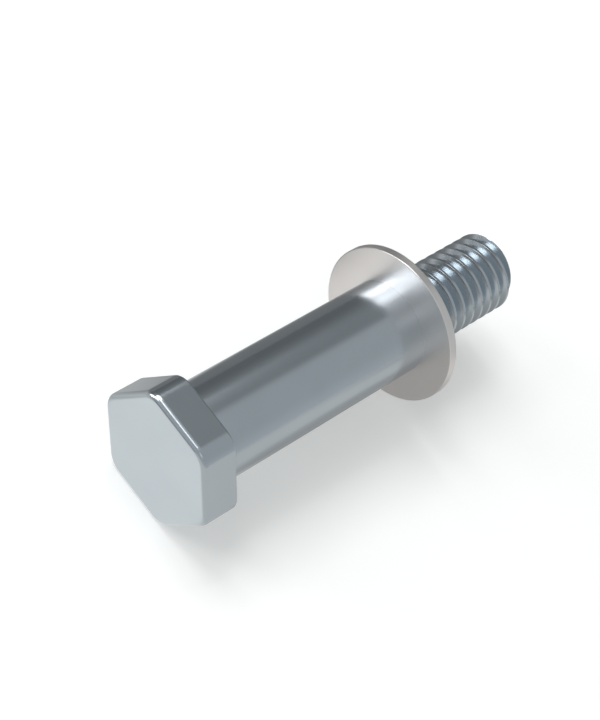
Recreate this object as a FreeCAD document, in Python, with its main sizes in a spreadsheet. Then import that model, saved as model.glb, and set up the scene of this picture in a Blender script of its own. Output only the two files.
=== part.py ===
import FreeCAD, Part
import os
import Sketcher

# Striker bolt with its loose flat washer, in millimetres.
# Each piece is drawn along its own X axis, from the hex head at -X to the threaded tip at +X,
# with its origin where the shank's shoulder meets the washer and two flats of the hex facing +Z and -Z.
# Both are then laid down as they rest: on the front edge of the lower flat and on the washer's rim.

os.makedirs("parts", exist_ok=True)
doc = FreeCAD.newDocument("striker_bolt")

# Driving dimensions
driving = {
    "head_across_flats": 18.08,
    "head_height": 5.25,
    "head_corner_radius": 2.9,
    "head_front_radius": 0.8,
    "head_rear_break": 0.12,
    "under_head_flare": 0.35,
    "shank_diameter": 13.48,
    "shank_length": 36.0,
    "shoulder_break": 0.05,
    "pilot_relief": 0.1,
    "pilot_margin": 0.1,
    "undercut_relief": 0.1,
    "stud_diameter": 11.11,
    "stud_length": 20.0,
    "point_inset": 0.12,
    "point_length": 0.12,
    "thread_pitch": 1.8143,
    "thread_half_angle": 30.0,
    "thread_crest_width": 0.40,
    "thread_root_width": 0.19,
    "thread_start_angle": 191.0,
    "cutter_margin": 0.2,
    "cutter_run_in": 0.55,
    "washer_diameter": 22.4,
    "washer_thickness": 1.2,
    "washer_edge_break": 0.1,
    "washer_bore_clearance": 0.76,
    "washer_rest_gap": 0.03,
}

# Sizes that follow from them, as formulas in the sheet
following = {
    "head_half_flats": "head_across_flats / 2",
    "head_corner_reach": "head_across_flats / sqrt(3)",
    "shank_radius": "shank_diameter / 2",
    "stud_radius": "stud_diameter / 2",
    "point_radius": "stud_radius - point_inset",
    "pilot_radius": "stud_radius - pilot_relief / 2",
    "pilot_end": "washer_thickness + pilot_margin",
    "flank_slope": "tan(thread_half_angle)",
    "groove_root_half": "thread_root_width / 2",
    "groove_top_half": "(thread_pitch - thread_crest_width) / 2",
    "groove_depth": "(groove_top_half - groove_root_half) / flank_slope",
    "groove_root_radius": "stud_radius - groove_depth",
    "cutter_radius": "stud_radius + cutter_margin",
    "cutter_half": "groove_top_half + cutter_margin * flank_slope",
    "cutter_start": "pilot_end + pilot_relief / 2 + cutter_half",
    "undercut_radius": "groove_root_radius - undercut_relief",
    "undercut_end": "cutter_start + groove_root_half + cutter_run_in",
    "thread_start": "undercut_end + (stud_radius - undercut_radius) * flank_slope",
    "washer_radius": "washer_diameter / 2",
    "washer_bore_radius": "(stud_diameter + washer_bore_clearance) / 2",
    "washer_lift": "washer_bore_radius - pilot_radius - washer_rest_gap",
}

# The resting line touches the head's rounded front edge, centred at (head_contact, head_reach) below the axis,
# and the corner of the washer's rim at (washer_edge_break, washer_reach)
following.update({
    "head_contact": "head_front_radius - head_height - shank_length",
    "head_reach": "head_half_flats - head_front_radius",
    "washer_reach": "washer_radius - washer_lift",
    "contact_run": "washer_edge_break - head_contact",
    "contact_rise": "washer_reach - head_reach",
    "contact_span": "sqrt(contact_run ^ 2 + contact_rise ^ 2)",
    "lean": "atan2(contact_rise; contact_run) - asin(head_front_radius / contact_span)",
    "rest_height": "head_front_radius + head_reach * cos(lean) - head_contact * sin(lean)",
    "rear_most": "head_contact * cos(lean) - head_reach * sin(lean) - head_front_radius",
    "front_most": "stud_length * cos(lean) + point_radius * sin(lean)",
    "rest_shift": "-(rear_most + front_most) / 2",
})

sheet = doc.addObject("Spreadsheet::Sheet", "sizes")
cells = dict(driving)
cells.update({alias: "=" + formula for alias, formula in following.items()})
for row, (alias, content) in enumerate(cells.items(), start=1):
    sheet.set(f"A{row}", alias)
    sheet.set(f"B{row}", str(content))
    sheet.setAlias(f"B{row}", alias)
doc.recompute()


def origin_plane(body, role):
    return next(item for item in body.Origin.OriginFeatures if item.Role == role)


def new_sketch(body, name, role):
    sketch = body.newObject("Sketcher::SketchObject", name)
    sketch.AttachmentSupport = [(origin_plane(body, role), "")]
    sketch.MapMode = "FlatFace"
    return sketch


def draw_outline(sketch, corners):
    """Closed outline of straight lines; each corner is held by two formulas in the sheet's sizes."""
    points = [FreeCAD.Vector(*(float(sketch.evalExpression(item)) for item in corner), 0) for corner in corners]
    for start, end in zip(points, points[1:] + points[:1]):
        sketch.addGeometry(Part.LineSegment(start, end))
    for line, (across, up) in enumerate(corners):
        sketch.addConstraint(Sketcher.Constraint("Coincident", (line - 1) % len(corners), 2, line, 1))
        for kind, formula, axis in (("DistanceX", across, -2), ("DistanceY", up, -1)):
            if formula == "0":
                sketch.addConstraint(Sketcher.Constraint("PointOnObject", line, 1, axis))
                continue
            held = Sketcher.Constraint(kind, -1, 1, line, 1, float(sketch.evalExpression(formula)))
            sketch.setExpression(f"Constraints[{sketch.addConstraint(held)}]", formula)


def draw_circle(sketch, formula):
    """Circle about the sketch's origin with its radius held by a formula in the sheet's sizes."""
    radius = float(sketch.evalExpression(formula))
    circle = sketch.addGeometry(Part.Circle(FreeCAD.Vector(), FreeCAD.Vector(0, 0, 1), radius))
    sketch.addConstraint(Sketcher.Constraint("Coincident", circle, 3, -1, 1))
    held = sketch.addConstraint(Sketcher.Constraint("Radius", circle, radius))
    sketch.setExpression(f"Constraints[{held}]", formula)


def edges_where(feature, wanted):
    return [f"Edge{index}" for index, edge in enumerate(feature.Shape.Edges, start=1) if wanted(edge)]


def lies_at(edge, x):
    """True for an edge that lies wholly in the plane at this distance along X."""
    places = [edge.valueAt(at).x for at in (edge.FirstParameter, edge.LastParameter)]
    return max(abs(place - x) for place in places) < 1e-6


def is_round(edge, radius):
    return abs(getattr(edge.Curve, "Radius", 0) - radius) < 1e-6


def add_dress_up(body, kind, name, base, edges, quantity, formula):
    """Fillet or chamfer on the named edges of the feature before it."""
    feature = body.newObject(kind, name)
    feature.Base = (base, edges)
    feature.setExpression(quantity, formula)
    doc.recompute()
    return feature


# Hex head: a cold-headed hexagon with well rounded corners, a rounded front edge and a broken rear edge
bolt = doc.addObject("PartDesign::Body", "striker_bolt")
bolt.Label = "striker_bolt"

hexagon = new_sketch(bolt, "head_hexagon", "YZ_Plane")
hexagon.setExpression("AttachmentOffset.Base.z", "-sizes.shank_length")
draw_outline(hexagon, [
    ("sizes.head_corner_reach", "0"),
    ("sizes.head_corner_reach / 2", "sizes.head_half_flats"),
    ("-sizes.head_corner_reach / 2", "sizes.head_half_flats"),
    ("-sizes.head_corner_reach", "0"),
    ("-sizes.head_corner_reach / 2", "-sizes.head_half_flats"),
    ("sizes.head_corner_reach / 2", "-sizes.head_half_flats"),
])
head = bolt.newObject("PartDesign::Pad", "head")
head.Profile = hexagon
head.Reversed = True
head.setExpression("Length", "sizes.head_height")
doc.recompute()

rear = -float(sheet.shank_length)
front = rear - float(sheet.head_height)
corners = edges_where(head, lambda edge: not lies_at(edge, front) and not lies_at(edge, rear))
rounded = add_dress_up(bolt, "PartDesign::Fillet", "head_corners", head, corners,
                       "Radius", "sizes.head_corner_radius")
front_edges = edges_where(rounded, lambda edge: lies_at(edge, front))
rounded = add_dress_up(bolt, "PartDesign::Fillet", "head_front_edge", rounded, front_edges,
                       "Radius", "sizes.head_front_radius")
rear_edges = edges_where(rounded, lambda edge: lies_at(edge, rear))
rounded = add_dress_up(bolt, "PartDesign::Chamfer", "head_rear_edge", rounded, rear_edges,
                       "Size", "sizes.head_rear_break")

# Shank, shoulder, pilot under the washer, undercut and stud, turned in one profile
profile = new_sketch(bolt, "shank_and_stud_profile", "XZ_Plane")
draw_outline(profile, [
    ("-sizes.shank_length - sizes.head_height / 2", "0"),
    ("-sizes.shank_length - sizes.head_height / 2", "sizes.shank_radius"),
    ("-sizes.shoulder_break", "sizes.shank_radius"),
    ("0", "sizes.shank_radius - sizes.shoulder_break"),
    ("0", "sizes.pilot_radius"),
    ("sizes.pilot_end", "sizes.pilot_radius"),
    ("sizes.pilot_end", "sizes.undercut_radius"),
    ("sizes.undercut_end", "sizes.undercut_radius"),
    ("sizes.thread_start", "sizes.stud_radius"),
    ("sizes.stud_length - sizes.point_length", "sizes.stud_radius"),
    ("sizes.stud_length", "sizes.point_radius"),
    ("sizes.stud_length", "0"),
])
turned = bolt.newObject("PartDesign::Revolution", "shank_and_stud")
turned.Profile = profile
turned.ReferenceAxis = (profile, ["H_Axis"])
turned.Angle = 360
doc.recompute()

seat_edges = edges_where(turned, lambda edge: lies_at(edge, rear) and is_round(edge, float(sheet.shank_radius)))
turned = add_dress_up(bolt, "PartDesign::Chamfer", "under_head", turned, seat_edges,
                      "Size", "min(sizes.under_head_flare; (sizes.head_half_flats - sizes.shank_radius) / 2)")

# Right-hand thread: one sixty-degree groove wound from the undercut out past the tip
groove = new_sketch(bolt, "thread_groove", "XZ_Plane")
groove.AttachmentOffset = FreeCAD.Placement(FreeCAD.Vector(), FreeCAD.Rotation(FreeCAD.Vector(1, 0, 0), 1))
groove.setExpression("AttachmentOffset.Rotation.Angle", "sizes.thread_start_angle")
draw_outline(groove, [
    ("sizes.cutter_start - sizes.groove_root_half", "sizes.groove_root_radius"),
    ("sizes.cutter_start + sizes.groove_root_half", "sizes.groove_root_radius"),
    ("sizes.cutter_start + sizes.cutter_half", "sizes.cutter_radius"),
    ("sizes.cutter_start - sizes.cutter_half", "sizes.cutter_radius"),
])
doc.recompute()

thread = bolt.newObject("PartDesign::SubtractiveHelix", "thread")
thread.Profile = groove
thread.ReferenceAxis = (groove, ["H_Axis"])
thread.Mode = 0
thread.setExpression("Pitch", "sizes.thread_pitch")
thread.setExpression("Height", "sizes.stud_length - sizes.cutter_start + 1.6 * sizes.thread_pitch")
thread.LeftHanded = False
thread.Reversed = False
bolt.Tip = thread
doc.recompute()
if thread.Shape.Volume >= turned.Shape.Volume:
    raise ValueError("the thread cut nothing")

# Flat washer: a stamped ring, loose on the stud, its front face on the shoulder
washer = doc.addObject("PartDesign::Body", "washer")
washer.Label = "washer"
ring = new_sketch(washer, "washer_ring", "YZ_Plane")
draw_circle(ring, "sizes.washer_radius")
draw_circle(ring, "sizes.washer_bore_radius")
plate = washer.newObject("PartDesign::Pad", "washer_plate")
plate.Profile = ring
plate.setExpression("Length", "sizes.washer_thickness")
doc.recompute()
ring_edges = edges_where(plate, lambda edge: lies_at(edge, edge.valueAt(edge.FirstParameter).x))
edges = add_dress_up(washer, "PartDesign::Chamfer", "washer_edges", plate, ring_edges,
                     "Size", "sizes.washer_edge_break")
washer.Tip = edges

# Both pieces laid down: the tip raised by the lean,
# and the washer standing higher than the bolt by its play on the stud
for body, lift in ((bolt, "0"), (washer, "sizes.washer_lift")):
    body.Placement = FreeCAD.Placement(FreeCAD.Vector(), FreeCAD.Rotation(FreeCAD.Vector(0, -1, 0), 1))
    body.setExpression("Placement.Rotation.Angle", "sizes.lean")
    body.setExpression("Placement.Base.x", f"sizes.rest_shift - {lift} * sin(sizes.lean)")
    body.setExpression("Placement.Base.z", f"sizes.rest_height + {lift} * cos(sizes.lean)")
doc.recompute()

for item in doc.Objects:
    if {"Invalid", "Error"} & set(item.State):
        raise ValueError(f"{item.Name} failed: {item.State}")
for body in (bolt, washer):
    shape = body.Shape
    if shape.isNull() or not shape.isValid() or len(shape.Solids) != 1:
        raise ValueError(f"{body.Label} has no sound solid")
for body in (bolt, washer):
    body.Shape.exportStep(f"parts/{body.Label}.step")
    print(body.Label, round(body.Shape.Volume, 3), body.Placement)
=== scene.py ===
import math

import bmesh
import bpy
from mathutils import Matrix, Vector


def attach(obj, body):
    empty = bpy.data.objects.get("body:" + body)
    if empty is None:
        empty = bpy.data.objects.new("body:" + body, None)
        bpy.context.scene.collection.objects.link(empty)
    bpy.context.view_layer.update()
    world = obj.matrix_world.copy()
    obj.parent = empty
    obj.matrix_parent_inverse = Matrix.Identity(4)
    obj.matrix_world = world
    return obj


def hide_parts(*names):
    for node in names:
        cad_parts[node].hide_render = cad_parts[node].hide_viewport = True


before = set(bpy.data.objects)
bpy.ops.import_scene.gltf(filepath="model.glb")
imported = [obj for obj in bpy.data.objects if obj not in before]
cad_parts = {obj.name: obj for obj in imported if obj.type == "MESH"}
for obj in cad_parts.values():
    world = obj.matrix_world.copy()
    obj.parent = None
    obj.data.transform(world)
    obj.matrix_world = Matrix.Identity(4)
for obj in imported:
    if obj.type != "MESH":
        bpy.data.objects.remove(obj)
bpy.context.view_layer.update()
print("frame loaded")

mm = 0.001

# how both pieces lie: on the head's lower flat and the washer's rim, with the tip raised
restPose = {
    "leanDegrees": 2.4842,
    "shoulder": (10.67618 * mm, 0.0, 10.78552 * mm),
}


def restMatrix(lift=0.0):
    lean = Matrix.Rotation(-math.radians(restPose["leanDegrees"]), 4, "Y")
    return Matrix.Translation(restPose["shoulder"]) @ lean @ Matrix.Translation((0, 0, lift))


# mesh helpers: every ring is a closed line of the same number of points round the X axis

meshCare = {
    "mergeDistance": 0.0005 * mm,
    "sliverLength": 0.0002 * mm,
    "sharpDegrees": 32,             # an edge that turns more than this stays sharp
}


def circleOutline(radius, columns):
    turns = [math.tau * column / columns for column in range(columns)]
    return [Vector((math.cos(turn), math.sin(turn))) * radius for turn in turns]


def addRings(bm, rings, closeStart):
    columns = len(rings[0][1])
    rows = [[bm.verts.new((x, *point)) for point in outline] for x, outline in rings]
    for row, after in zip(rows, rows[1:]):
        for column in range(columns):
            beside = (column + 1) % columns
            bm.faces.new((row[column], row[beside], after[beside], after[column]))
    if closeStart:
        pole = bm.verts.new((rings[0][0], 0, 0))
        for column in range(columns):
            bm.faces.new((rows[0][(column + 1) % columns], rows[0][column], pole))


def finishMesh(piece, matrix):
    mesh = piece.data
    bm = bmesh.new()
    bm.from_mesh(mesh)
    bmesh.ops.remove_doubles(bm, verts=bm.verts, dist=meshCare["mergeDistance"])
    bmesh.ops.dissolve_degenerate(bm, edges=bm.edges, dist=meshCare["sliverLength"])
    bmesh.ops.recalc_face_normals(bm, faces=bm.faces)
    openEdges = sum(not edge.is_manifold for edge in bm.edges)
    bm.to_mesh(mesh)
    bm.free()
    mesh.transform(matrix)
    mesh.shade_smooth()
    mesh.set_sharp_from_angle(angle=math.radians(meshCare["sharpDegrees"]))
    print(piece.name, len(mesh.polygons), "faces,", openEdges, "open edges")


# materials

def addNode(tree, kind, **settings):
    node = tree.nodes.new(kind)
    for name, value in settings.items():
        setattr(node, name, value)
    return node


def wire(tree, source, target):
    tree.links.new(source, target)


def mathNode(tree, operation, *values):
    node = addNode(tree, "ShaderNodeMath", operation=operation)
    for socket, value in zip(node.inputs, values):
        if isinstance(value, (int, float)):
            socket.default_value = value
        else:
            wire(tree, value, socket)
    return node.outputs[0]


def makeGrainGroup():
    # fine plating grain, turning lines along one axis and broad cloudiness, for any metal here
    tree = bpy.data.node_groups.new("metalGrain", "ShaderNodeTree")
    inputs = {"Vector": "NodeSocketVector", "Line Stretch": "NodeSocketVector", "Grain Size": "NodeSocketFloat",
              "Line Spacing": "NodeSocketFloat", "Cloud Size": "NodeSocketFloat"}
    for name, kind in inputs.items():
        tree.interface.new_socket(name, in_out="INPUT", socket_type=kind)
    for name in ("Grain", "Lines", "Clouds"):
        tree.interface.new_socket(name, in_out="OUTPUT", socket_type="NodeSocketFloat")
    groupIn, groupOut = addNode(tree, "NodeGroupInput"), addNode(tree, "NodeGroupOutput")
    layers = (("Grain", "Grain Size", 1.0), ("Lines", "Line Spacing", 1.0), ("Clouds", "Cloud Size", 2.0))
    for name, sizeName, detail in layers:
        frequency = mathNode(tree, "DIVIDE", 1.0, groupIn.outputs[sizeName])
        noise = addNode(tree, "ShaderNodeTexNoise")
        noise.inputs["Detail"].default_value = detail
        place = groupIn.outputs["Vector"]
        if name == "Lines":
            squeezed = addNode(tree, "ShaderNodeVectorMath", operation="MULTIPLY")
            wire(tree, place, squeezed.inputs[0])
            wire(tree, groupIn.outputs["Line Stretch"], squeezed.inputs[1])
            place = squeezed.outputs[0]
        wire(tree, place, noise.inputs["Vector"])
        wire(tree, frequency, noise.inputs["Scale"])
        wire(tree, noise.outputs["Fac"], groupOut.inputs[name])
    return tree


def makeMetal(name, look, grainGroup):
    material = bpy.data.materials.new(name)
    material.use_nodes = True
    tree = material.node_tree
    shader = tree.nodes["Principled BSDF"]
    shader.inputs["Metallic"].default_value = 1.0
    coords = addNode(tree, "ShaderNodeTexCoord")
    mapping = addNode(tree, "ShaderNodeMapping")
    turned = (math.radians(look["lineTurn"]), math.radians(restPose["leanDegrees"]), 0)
    mapping.inputs["Rotation"].default_value = turned
    wire(tree, coords.outputs["Object"], mapping.inputs["Vector"])
    grain = addNode(tree, "ShaderNodeGroup", node_tree=grainGroup)
    wire(tree, mapping.outputs["Vector"], grain.inputs["Vector"])
    for socket in ("Line Stretch", "Grain Size", "Line Spacing", "Cloud Size"):
        grain.inputs[socket].default_value = look[socket]

    tint = addNode(tree, "ShaderNodeMix", data_type="RGBA")
    tint.inputs["A"].default_value = (*look["darkColour"], 1)
    tint.inputs["B"].default_value = (*look["lightColour"], 1)
    wire(tree, grain.outputs["Clouds"], tint.inputs["Factor"])
    wire(tree, tint.outputs["Result"], shader.inputs["Base Color"])

    blend = addNode(tree, "ShaderNodeMix", data_type="FLOAT")
    blend.inputs["Factor"].default_value = look["lineShare"]
    wire(tree, grain.outputs["Grain"], blend.inputs["A"])
    wire(tree, grain.outputs["Lines"], blend.inputs["B"])
    rough = addNode(tree, "ShaderNodeMapRange")
    rough.inputs["To Min"].default_value = look["smoothest"]
    rough.inputs["To Max"].default_value = look["roughest"]
    wire(tree, blend.outputs["Result"], rough.inputs["Value"])
    wire(tree, rough.outputs["Result"], shader.inputs["Roughness"])

    bump = addNode(tree, "ShaderNodeBump")
    bump.inputs["Strength"].default_value = look["bumpStrength"]
    bump.inputs["Distance"].default_value = look["bumpHeight"]
    wire(tree, blend.outputs["Result"], bump.inputs["Height"])
    wire(tree, bump.outputs["Normal"], shader.inputs["Normal"])
    return material


boltLook = {
    "darkColour": (0.50, 0.555, 0.60),
    "lightColour": (0.55, 0.605, 0.65),
    "smoothest": 0.19,
    "roughest": 0.21,
    "Grain Size": 0.4 * mm,
    "Line Spacing": 0.2 * mm,
    "Line Stretch": (1, 0.02, 0.02),    # turning lines run round the axis
    "lineTurn": 0,
    "Cloud Size": 7 * mm,
    "lineShare": 0.4,
    "bumpStrength": 0.05,
    "bumpHeight": 0.0005 * mm,
}

washerLook = {
    "darkColour": (0.795, 0.77, 0.76),
    "lightColour": (0.855, 0.83, 0.82),
    "smoothest": 0.28,
    "roughest": 0.40,
    "Grain Size": 0.22 * mm,
    "Line Spacing": 0.16 * mm,
    "Line Stretch": (0.02, 1, 0.02),    # brushed slantwise across its faces
    "lineTurn": 35,
    "Cloud Size": 5 * mm,
    "lineShare": 0.6,
    "bumpStrength": 0.15,
    "bumpHeight": 0.004 * mm,
}

grainGroup = makeGrainGroup()
boltSteel = makeMetal("zincPlatedSteel", boltLook, grainGroup)
washerSteel = makeMetal("brushedWasherSteel", washerLook, grainGroup)
print("materials made")


# the bolt: head, shank, shoulder and pilot turned ring by ring, then the thread

boltSizes = {
    "headAcrossFlats": 18.08 * mm,
    "headHeight": 5.25 * mm,
    "cornerRadius": 2.9 * mm,
    "frontRadius": 0.8 * mm,
    "rearRadius": 0.2 * mm,
    "underHeadRadius": 0.35 * mm,
    "shankRadius": 6.74 * mm,
    "shankLength": 36.0 * mm,
    "shoulderPlace": 0.02 * mm,     # close up to the washer, so that no dark seam shows
    "shoulderRadius": 0.005 * mm,
    "pilotRadius": 5.505 * mm,
    "pilotEnd": 1.3 * mm,
    "undercutRadius": 4.395 * mm,
    "threadFrom": 1.5 * mm,
    "cornerSteps": 18,
    "flatSteps": 9,
    "roundSteps": 14,
    "smallRoundSteps": 4,
    "shankRings": 10,
    "flatMargin": 0.1 * mm,         # a ring this far inside each flat face keeps its shading flat
    "frontRingShares": (0.33, 0.66, 0.985),
    "flatEndShare": 0.02,           # the flats' first and last points stand this close to the corners
}
boltSizes["columns"] = 6 * (boltSizes["cornerSteps"] + boltSizes["flatSteps"])


def hexOutline(inset, share=1.0):
    # a hexagon with rounded corners, its flats facing up and down, drawn in by the inset
    sizes = boltSizes
    reach = (sizes["headAcrossFlats"] / 2 - sizes["cornerRadius"]) / math.cos(math.radians(30))
    radius = sizes["cornerRadius"] - inset
    arcs = []
    for corner in range(6):
        centre = Vector((math.cos(corner * math.tau / 6), math.sin(corner * math.tau / 6))) * reach
        steps = range(sizes["cornerSteps"] + 1)
        turns = [math.tau / 6 * (corner + step / sizes["cornerSteps"] - 0.5) for step in steps]
        arcs.append([centre + Vector((math.cos(turn), math.sin(turn))) * radius for turn in turns])
    spans, nearEnd = sizes["flatSteps"] - 2, sizes["flatEndShare"]
    along = [nearEnd, *(step / spans for step in range(1, spans)), 1 - nearEnd]
    outline = []
    for arc, nextArc in zip(arcs, arcs[1:] + arcs[:1]):
        outline += arc + [arc[-1].lerp(nextArc[0], part) for part in along]
    half = sizes["cornerSteps"] // 2
    return [point * share for point in outline[half:] + outline[:half]]


def boltRings():
    sizes = boltSizes
    circle = lambda radius: circleOutline(radius, sizes["columns"])
    quarter = lambda steps: [math.pi / 2 * step / steps for step in range(steps + 1)]
    rear = -sizes["shankLength"]
    front = rear - sizes["headHeight"]
    frontRound, rearRound = sizes["frontRadius"], sizes["rearRadius"]
    flare, margin, shank = sizes["underHeadRadius"], sizes["flatMargin"], sizes["shankRadius"]
    shoulder, end = sizes["shoulderRadius"], sizes["shoulderPlace"]
    # the head, from its front face back to the flare under it
    rings = [(front, hexOutline(frontRound, share)) for share in sizes["frontRingShares"]]
    for turn in quarter(sizes["roundSteps"]):
        rings.append((front + frontRound * (1 - math.cos(turn)), hexOutline(frontRound * (1 - math.sin(turn)))))
    rings += [(front + frontRound + margin, hexOutline(0)), (rear - rearRound - margin, hexOutline(0))]
    for turn in quarter(sizes["smallRoundSteps"]):
        rings.append((rear - rearRound * (1 - math.sin(turn)), hexOutline(rearRound * (1 - math.cos(turn)))))
    rings += [(rear, hexOutline(rearRound + margin)), (rear, circle(shank + flare + margin))]
    for turn in quarter(sizes["smallRoundSteps"]):
        rings.append((rear + flare * (1 - math.cos(turn)), circle(shank + flare * (1 - math.sin(turn)))))
    # the shank and its shoulder, then the pilot and the undercut
    first, last = rear + flare + margin, end - shoulder - margin / 2
    for step in range(sizes["shankRings"] + 1):
        rings.append((first + (last - first) * step / sizes["shankRings"], circle(shank)))
    for turn in quarter(sizes["smallRoundSteps"]):
        rings.append((end - shoulder * (1 - math.sin(turn)), circle(shank - shoulder * (1 - math.cos(turn)))))
    pilotEnd, pilot, undercut = sizes["pilotEnd"], sizes["pilotRadius"], sizes["undercutRadius"]
    rings += [(end, circle(shank - shoulder - margin / 2)), (end, circle(pilot)),
              (pilotEnd, circle(pilot)), (pilotEnd, circle(undercut)), (sizes["threadFrom"], circle(undercut))]
    return rings


threadSizes = {
    "Crest Radius": 5.555 * mm,
    "Root Radius": 4.495 * mm,
    "Undercut Radius": boltSizes["undercutRadius"],
    "Undercut End": 2.8176 * mm,
    "Pitch": 1.8143 * mm,
    "Root Width": 0.19 * mm,
    "Flank Slope": math.tan(math.radians(30)),
    "Crest Rounding": 0.03 * mm,
    "Root Rounding": 0.06 * mm,
    "Groove Place": 0.7564 * mm,    # a groove's middle, along the axis, on the +Y side
    "Start": boltSizes["threadFrom"],
    "End": 20.0 * mm,
    "Point Length": 0.12 * mm,
    "Point Inset": 0.12 * mm,
    "Rows Per Turn": 42,
    "Columns": boltSizes["columns"],
    "Seam Merge": 0.001 * mm,
}


def makeThreadTree():
    # a sheet is wound round the axis with its rows along the helix, and lifted to the thread's profile
    tree = bpy.data.node_groups.new("rolledThread", "GeometryNodeTree")
    tree.interface.new_socket("Geometry", in_out="INPUT", socket_type="NodeSocketGeometry")
    for name, value in threadSizes.items():
        kind = "NodeSocketInt" if isinstance(value, int) else "NodeSocketFloat"
        tree.interface.new_socket(name, in_out="INPUT", socket_type=kind)
    tree.interface.new_socket("Material", in_out="INPUT", socket_type="NodeSocketMaterial")
    tree.interface.new_socket("Geometry", in_out="OUTPUT", socket_type="NodeSocketGeometry")
    treeIn, treeOut = addNode(tree, "NodeGroupInput"), addNode(tree, "NodeGroupOutput")
    size = treeIn.outputs

    def calc(operation, *values):
        return mathNode(tree, operation, *values)

    rowStep = calc("DIVIDE", size["Pitch"], size["Rows Per Turn"])
    reach = calc("ADD", calc("SUBTRACT", size["End"], size["Start"]), size["Pitch"])
    rowSpans = calc("ADD", calc("CEIL", calc("DIVIDE", reach, rowStep)), 1)
    sheetLength = calc("MULTIPLY", rowSpans, rowStep)
    sheet = addNode(tree, "GeometryNodeMeshGrid")
    sheet.inputs["Size X"].default_value = 1.0
    wire(tree, sheetLength, sheet.inputs["Size Y"])
    wire(tree, calc("ADD", size["Columns"], 1), sheet.inputs["Vertices X"])
    wire(tree, calc("ADD", rowSpans, 1), sheet.inputs["Vertices Y"])

    place = addNode(tree, "ShaderNodeSeparateXYZ")
    wire(tree, addNode(tree, "GeometryNodeInputPosition").outputs[0], place.inputs[0])
    turns = calc("ADD", place.outputs["X"], 0.5)
    down = calc("ADD", place.outputs["Y"], calc("MULTIPLY", sheetLength, 0.5))
    climb = calc("MULTIPLY", turns, size["Pitch"])
    along = calc("ADD", calc("ADD", calc("SUBTRACT", size["Start"], size["Pitch"]), down), climb)
    clamp = addNode(tree, "ShaderNodeClamp")
    for source, name in ((along, "Value"), (size["Start"], "Min"), (size["End"], "Max")):
        wire(tree, source, clamp.inputs[name])
    along = clamp.outputs[0]

    # distance from the nearest groove's middle, then the flank's radius there
    unwound = calc("SUBTRACT", calc("SUBTRACT", along, climb), size["Groove Place"])
    fromGroove = calc("PINGPONG", unwound, calc("MULTIPLY", size["Pitch"], 0.5))
    upFlank = calc("SUBTRACT", fromGroove, calc("MULTIPLY", size["Root Width"], 0.5))
    rise = calc("DIVIDE", upFlank, size["Flank Slope"])
    radius = calc("ADD", size["Root Radius"], rise)
    radius = calc("SMOOTH_MAX", size["Root Radius"], radius, size["Root Rounding"])
    radius = calc("SMOOTH_MIN", radius, size["Crest Radius"], size["Crest Rounding"])

    # the thread rises out of the undercut and is broken at the tip
    runIn = calc("MAXIMUM", calc("SUBTRACT", along, size["Undercut End"]), 0)
    runIn = calc("ADD", size["Undercut Radius"], calc("DIVIDE", runIn, size["Flank Slope"]))
    radius = calc("MINIMUM", radius, runIn)
    pointStart = calc("SUBTRACT", size["End"], size["Point Length"])
    pointShare = calc("DIVIDE", calc("MAXIMUM", calc("SUBTRACT", along, pointStart), 0), size["Point Length"])
    point = calc("SUBTRACT", size["Crest Radius"], calc("MULTIPLY", pointShare, size["Point Inset"]))
    radius = calc("MINIMUM", radius, point)
    # the last row closes the tip's end face at its middle
    beforeLastRow = calc("LESS_THAN", down, calc("SUBTRACT", sheetLength, calc("MULTIPLY", rowStep, 0.5)))
    radius = calc("MULTIPLY", radius, beforeLastRow)

    angle = calc("MULTIPLY", turns, math.tau)
    wound = addNode(tree, "ShaderNodeCombineXYZ")
    wire(tree, along, wound.inputs["X"])
    wire(tree, calc("MULTIPLY", radius, calc("COSINE", angle)), wound.inputs["Y"])
    wire(tree, calc("MULTIPLY", radius, calc("SINE", angle)), wound.inputs["Z"])
    setPosition = addNode(tree, "GeometryNodeSetPosition")
    wire(tree, sheet.outputs["Mesh"], setPosition.inputs["Geometry"])
    wire(tree, wound.outputs[0], setPosition.inputs["Position"])

    join = addNode(tree, "GeometryNodeJoinGeometry")
    merge = addNode(tree, "GeometryNodeMergeByDistance")
    wire(tree, size["Seam Merge"], merge.inputs["Distance"])
    realize = addNode(tree, "GeometryNodeRealizeInstances")
    setMaterial = addNode(tree, "GeometryNodeSetMaterial")
    wire(tree, treeIn.outputs["Geometry"], join.inputs[0])
    wire(tree, setPosition.outputs[0], join.inputs[0])
    wire(tree, join.outputs[0], merge.inputs["Geometry"])
    wire(tree, merge.outputs[0], realize.inputs[0])
    wire(tree, realize.outputs[0], setMaterial.inputs["Geometry"])
    wire(tree, treeIn.outputs["Material"], setMaterial.inputs["Material"])
    wire(tree, setMaterial.outputs[0], treeOut.inputs["Geometry"])
    return tree


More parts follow.
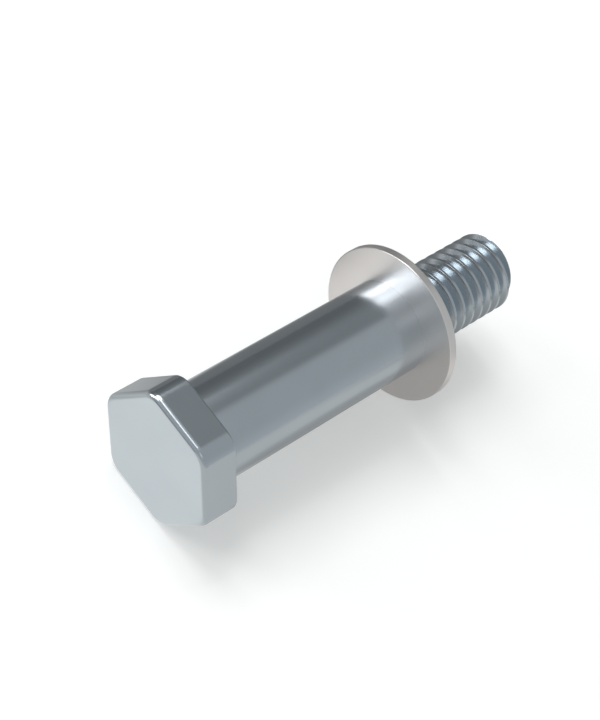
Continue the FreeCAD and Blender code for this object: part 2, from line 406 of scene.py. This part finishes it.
def makeBolt():
    bm = bmesh.new()
    addRings(bm, boltRings(), closeStart=True)
    mesh = bpy.data.meshes.new("strikerBolt")
    bm.to_mesh(mesh)
    bm.free()
    bolt = bpy.data.objects.new("strikerBolt", mesh)
    bpy.context.scene.collection.objects.link(bolt)
    tree = makeThreadTree()
    threadMaker = bolt.modifiers.new("thread", "NODES")
    threadMaker.node_group = tree
    settings = dict(threadSizes, Material=boltSteel)
    for socket in tree.interface.items_tree:
        if socket.in_out == "INPUT" and socket.name in settings:
            threadMaker[socket.identifier] = settings[socket.name]
    depsgraph = bpy.context.evaluated_depsgraph_get()
    threaded = bpy.data.meshes.new_from_object(bolt.evaluated_get(depsgraph))
    bolt.modifiers.clear()
    bolt.data = threaded
    threaded.materials.clear()
    threaded.materials.append(boltSteel)
    finishMesh(bolt, restMatrix())
    # the stud's end face stays flat, whatever part of the thread meets it
    endPlace = restMatrix() @ Vector((threadSizes["End"], 0, 0))
    axis = restMatrix().to_3x3() @ Vector((1, 0, 0))
    for face in threaded.polygons:
        if (face.center - endPlace).dot(axis) > -threadSizes["Seam Merge"]:
            face.use_smooth = False
    return bolt


bolt = makeBolt()
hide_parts("striker_bolt")
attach(bolt, "root")
print("bolt made")


# the washer: a flat ring with lightly rounded edges

washerSizes = {
    "radius": 11.2 * mm,
    "boreRadius": 5.935 * mm,
    "thickness": 1.2 * mm,
    "edgeRadius": 0.1 * mm,
    "edgeSteps": 4,
    "flatMargin": 0.1 * mm,
    "lift": 0.40 * mm,              # it stands on its rim, so its middle is above the bolt's
    "columns": 224,
}


def makeWasher():
    sizes = washerSizes
    edge = sizes["edgeRadius"]
    front, back = edge, sizes["thickness"] - edge
    rim, bore = sizes["radius"] - edge, sizes["boreRadius"] + edge
    corners = ((front, rim, math.pi), (back, rim, math.pi / 2), (back, bore, 0.0), (front, bore, -math.pi / 2))
    profile = []
    for x, radius, start in corners:
        for step in range(sizes["edgeSteps"] + 1):
            turn = start - math.pi / 2 * step / sizes["edgeSteps"]
            profile.append(Vector((x + edge * math.cos(turn), radius + edge * math.sin(turn))))
    supported = []
    for point, after in zip(profile, profile[1:] + profile[:1]):
        supported.append(point)
        gap = (after - point).length
        if gap > 3 * sizes["flatMargin"]:       # a long side gets a ring close to each of its ends
            share = sizes["flatMargin"] / gap
            supported += [point.lerp(after, share), point.lerp(after, 1 - share)]
    rings = [(x, circleOutline(radius, sizes["columns"])) for x, radius in supported]
    bm = bmesh.new()
    addRings(bm, rings + rings[:1], closeStart=False)
    mesh = bpy.data.meshes.new("flatWasher")
    bm.to_mesh(mesh)
    bm.free()
    mesh.materials.append(washerSteel)
    washer = bpy.data.objects.new("flatWasher", mesh)
    bpy.context.scene.collection.objects.link(washer)
    finishMesh(washer, restMatrix(sizes["lift"]))
    return washer


washer = makeWasher()
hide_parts("washer")
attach(washer, "root")
print("washer made")


# floor, lights and camera

studio = {
    "floorSize": 6.0,
    "floorColour": 0.94,            # what the camera sees, with a glow on top that makes it white
    "seenGlow": 0.23,
    "glowTint": (1.0, 0.99, 0.955, 1),
    "paintedReflectionShade": 0.25,           # a darker floor for the metal and all other non-camera rays: painted shade in the floor's reflection, with painted reflected light laid on top
    "paintedSideReflection": 0.47,
    "paintedSideReflectionEnds": (11 * mm, 20 * mm),
    "paintedReflectionFade": (0.7, 1.3),
    "paintedReflectionPatches": (                    # painted reflections: middle, reach and how much lighter or darker each makes the floor the metal sees
        ((-34 * mm, 10 * mm), (30 * mm, 22 * mm), 0.32),
        ((-60 * mm, 60 * mm), (45 * mm, 40 * mm), 0.35),
        ((5 * mm, 9 * mm), (12 * mm, 6 * mm), 0.10),
        ((8 * mm, -10 * mm), (28 * mm, 13 * mm), -0.18),
        ((170 * mm, -20 * mm), (100 * mm, 150 * mm), -0.45),
    ),
    "lampDistance": 2.5,
    "floorRoughness": 0.9,
    "floorGloss": 0.1,
}

# the room seen in the metal: a light side in front of the bolt and a dark one behind it
room = {
    "lightLow": 0.56,
    "lightHigh": 0.48,
    "lightHeights": (0, 0.5),       # the sine of the height at which each level is reached
    "darkLow": 0.16,
    "darkHigh": 0.27,
    "darkHeights": (0.2, 0.85),
    "darkSide": 60,                 # degrees round from +X
    "darkTilt": -12,                # and above the floor
    "darkEdge": (0.09, 0.22),       # how softly the light side turns into the dark one
    "tint": (0.95, 0.99, 1.0, 1),
}

# direction in degrees round from +X and above the floor, size in metres, and brightness where 1 is white
softBoxes = {
    "keyBox": {"azimuth": 100, "elevation": 53, "width": 1.1, "height": 1.1, "brightness": 5.3},
    "backBox": {"azimuth": 67, "elevation": 54, "width": 0.8, "height": 1.1, "brightness": 2.0},
    "highSideBox": {"azimuth": 132, "elevation": 64, "width": 0.8, "height": 0.6, "brightness": 2.4},
    "middleSideBox": {"azimuth": 134, "elevation": 33, "width": 0.9, "height": 0.8, "brightness": 3.4},
    "lowSideBox": {"azimuth": 124, "elevation": 8, "width": 0.8, "height": 1.2, "brightness": 5.6},
    "frontBox": {"azimuth": -150, "elevation": 47, "width": 0.9, "height": 0.9, "brightness": 0.35},
}


def spread(tree, source, fromRange, toRange):
    node = addNode(tree, "ShaderNodeMapRange", interpolation_type="SMOOTHSTEP")
    for name, value in zip(("From Min", "From Max", "To Min", "To Max"), (*fromRange, *toRange)):
        node.inputs[name].default_value = value
    wire(tree, source, node.inputs["Value"])
    return node.outputs["Result"]


def makeFloor():
    mesh = bpy.data.meshes.new("floor")
    half = studio["floorSize"] / 2
    corners = [(-half, -half, 0), (half, -half, 0), (half, half, 0), (-half, half, 0)]
    mesh.from_pydata(corners, [], [(0, 1, 2, 3)])
    floor = bpy.data.objects.new("floor", mesh)
    bpy.context.scene.collection.objects.link(floor)
    material = bpy.data.materials.new("paleFloor")
    material.use_nodes = True
    tree = material.node_tree
    shader = tree.nodes["Principled BSDF"]
    shader.inputs["Roughness"].default_value = studio["floorRoughness"]
    shader.inputs["Specular IOR Level"].default_value = studio["floorGloss"]
    shader.inputs["Emission Color"].default_value = studio["glowTint"]
    rays = addNode(tree, "ShaderNodeLightPath")
    # painted shade: only camera rays see the pale floor colour, while the metal reflects the darker one
    colour = addNode(tree, "ShaderNodeMix", data_type="RGBA")
    colour.inputs["A"].default_value = (*[studio["paintedReflectionShade"]] * 3, 1)
    colour.inputs["B"].default_value = (*[studio["floorColour"]] * 3, 1)
    wire(tree, rays.outputs["Is Camera Ray"], colour.inputs["Factor"])
    wire(tree, colour.outputs["Result"], shader.inputs["Base Color"])

    # painted reflection: the metal sees a floor lit by painted glow before the bolt, lightest by the head and
    # darker under the shank
    coords = addNode(tree, "ShaderNodeTexCoord")
    sides = addNode(tree, "ShaderNodeSeparateXYZ")
    wire(tree, coords.outputs["Object"], sides.inputs[0])
    # painted reflected light: the floor the metal sees glows up to the first side end and fades out by the
    # second
    glow = spread(tree, sides.outputs["Y"], studio["paintedSideReflectionEnds"], (studio["paintedSideReflection"], 0))
    # each entry paints light, or shade where its amount is negative, into the metal's reflection of the floor
    for middle, reach, amount in studio["paintedReflectionPatches"]:
        mapping = addNode(tree, "ShaderNodeMapping", vector_type="TEXTURE")
        mapping.inputs["Location"].default_value = (*middle, 0)
        mapping.inputs["Scale"].default_value = (*reach, 1)
        wire(tree, coords.outputs["Object"], mapping.inputs["Vector"])
        distance = addNode(tree, "ShaderNodeVectorMath", operation="LENGTH")
        wire(tree, mapping.outputs["Vector"], distance.inputs[0])
        paintedPatch = spread(tree, distance.outputs["Value"], studio["paintedReflectionFade"], (amount, 0))
        glow = mathNode(tree, "ADD", glow, paintedPatch)
    mirrored = mathNode(tree, "MAXIMUM", rays.outputs["Is Glossy Ray"], rays.outputs["Is Transmission Ray"])
    paintedReflectionGlow = mathNode(tree, "MULTIPLY", mirrored, mathNode(tree, "MAXIMUM", glow, 0))
    seenGlow = mathNode(tree, "MULTIPLY", rays.outputs["Is Camera Ray"], studio["seenGlow"])
    wire(tree, mathNode(tree, "ADD", seenGlow, paintedReflectionGlow), shader.inputs["Emission Strength"])
    mesh.materials.append(material)


def makeRoom():
    world = bpy.data.worlds.new("studioRoom")
    world.use_nodes = True
    tree = world.node_tree
    coords = addNode(tree, "ShaderNodeTexCoord")
    height = addNode(tree, "ShaderNodeSeparateXYZ")
    wire(tree, coords.outputs["Generated"], height.inputs[0])
    towards = addNode(tree, "ShaderNodeVectorMath", operation="DOT_PRODUCT")
    wire(tree, coords.outputs["Generated"], towards.inputs[0])
    side, tilt = math.radians(room["darkSide"]), math.radians(room["darkTilt"])
    middle = (math.cos(side) * math.cos(tilt), math.sin(side) * math.cos(tilt), math.sin(tilt))
    towards.inputs[1].default_value = middle
    darkShare = spread(tree, towards.outputs["Value"], room["darkEdge"], (0, 1))
    light = spread(tree, height.outputs["Z"], room["lightHeights"], (room["lightLow"], room["lightHigh"]))
    dark = spread(tree, height.outputs["Z"], room["darkHeights"], (room["darkLow"], room["darkHigh"]))
    level = addNode(tree, "ShaderNodeMix", data_type="FLOAT")
    wire(tree, darkShare, level.inputs["Factor"])
    wire(tree, light, level.inputs["A"])
    wire(tree, dark, level.inputs["B"])
    rays = addNode(tree, "ShaderNodeLightPath")
    seen = mathNode(tree, "MAXIMUM", level.outputs["Result"], rays.outputs["Is Camera Ray"])
    background = tree.nodes["Background"]
    background.inputs["Color"].default_value = room["tint"]
    wire(tree, seen, background.inputs["Strength"])
    bpy.context.scene.world = world


def makeLamps():
    for name, box in softBoxes.items():
        lamp = bpy.data.lights.new(name, "AREA")
        lamp.shape = "RECTANGLE"
        lamp.size, lamp.size_y = box["width"], box["height"]
        lamp.energy = box["brightness"] * math.pi * box["width"] * box["height"]
        around, up = math.radians(box["azimuth"]), math.radians(box["elevation"])
        towards = Vector((math.cos(up) * math.cos(around), math.cos(up) * math.sin(around), math.sin(up)))
        holder = bpy.data.objects.new(name, lamp)
        holder.location = towards * studio["lampDistance"]
        holder.rotation_euler = towards.to_track_quat("Z", "Y").to_euler()
        bpy.context.scene.collection.objects.link(holder)


cameraPlace = {
    "location": (-146.860 * mm, -47.970 * mm, 189.534 * mm),
    "right": (0.69374, -0.61019, 0.38262),
    "up": (0.38499, 0.76315, 0.51902),
    "lens": 90.254,
    "sensorWidth": 36.0,
    "clip": (0.005, 50),
}


def makeCamera():
    data = bpy.data.cameras.new("photoView")
    data.sensor_width = cameraPlace["sensorWidth"]
    data.lens = cameraPlace["lens"]
    data.clip_start, data.clip_end = cameraPlace["clip"]
    camera = bpy.data.objects.new("photoView", data)
    right, up = Vector(cameraPlace["right"]).normalized(), Vector(cameraPlace["up"]).normalized()
    back = right.cross(up).normalized()
    turned = Matrix((right, back.cross(right), back)).transposed().to_4x4()
    camera.matrix_world = Matrix.Translation(cameraPlace["location"]) @ turned
    bpy.context.scene.collection.objects.link(camera)
    bpy.context.scene.camera = camera


makeFloor()
makeRoom()
makeLamps()
makeCamera()
bpy.context.scene.view_settings.view_transform = "Standard"
print("studio made")
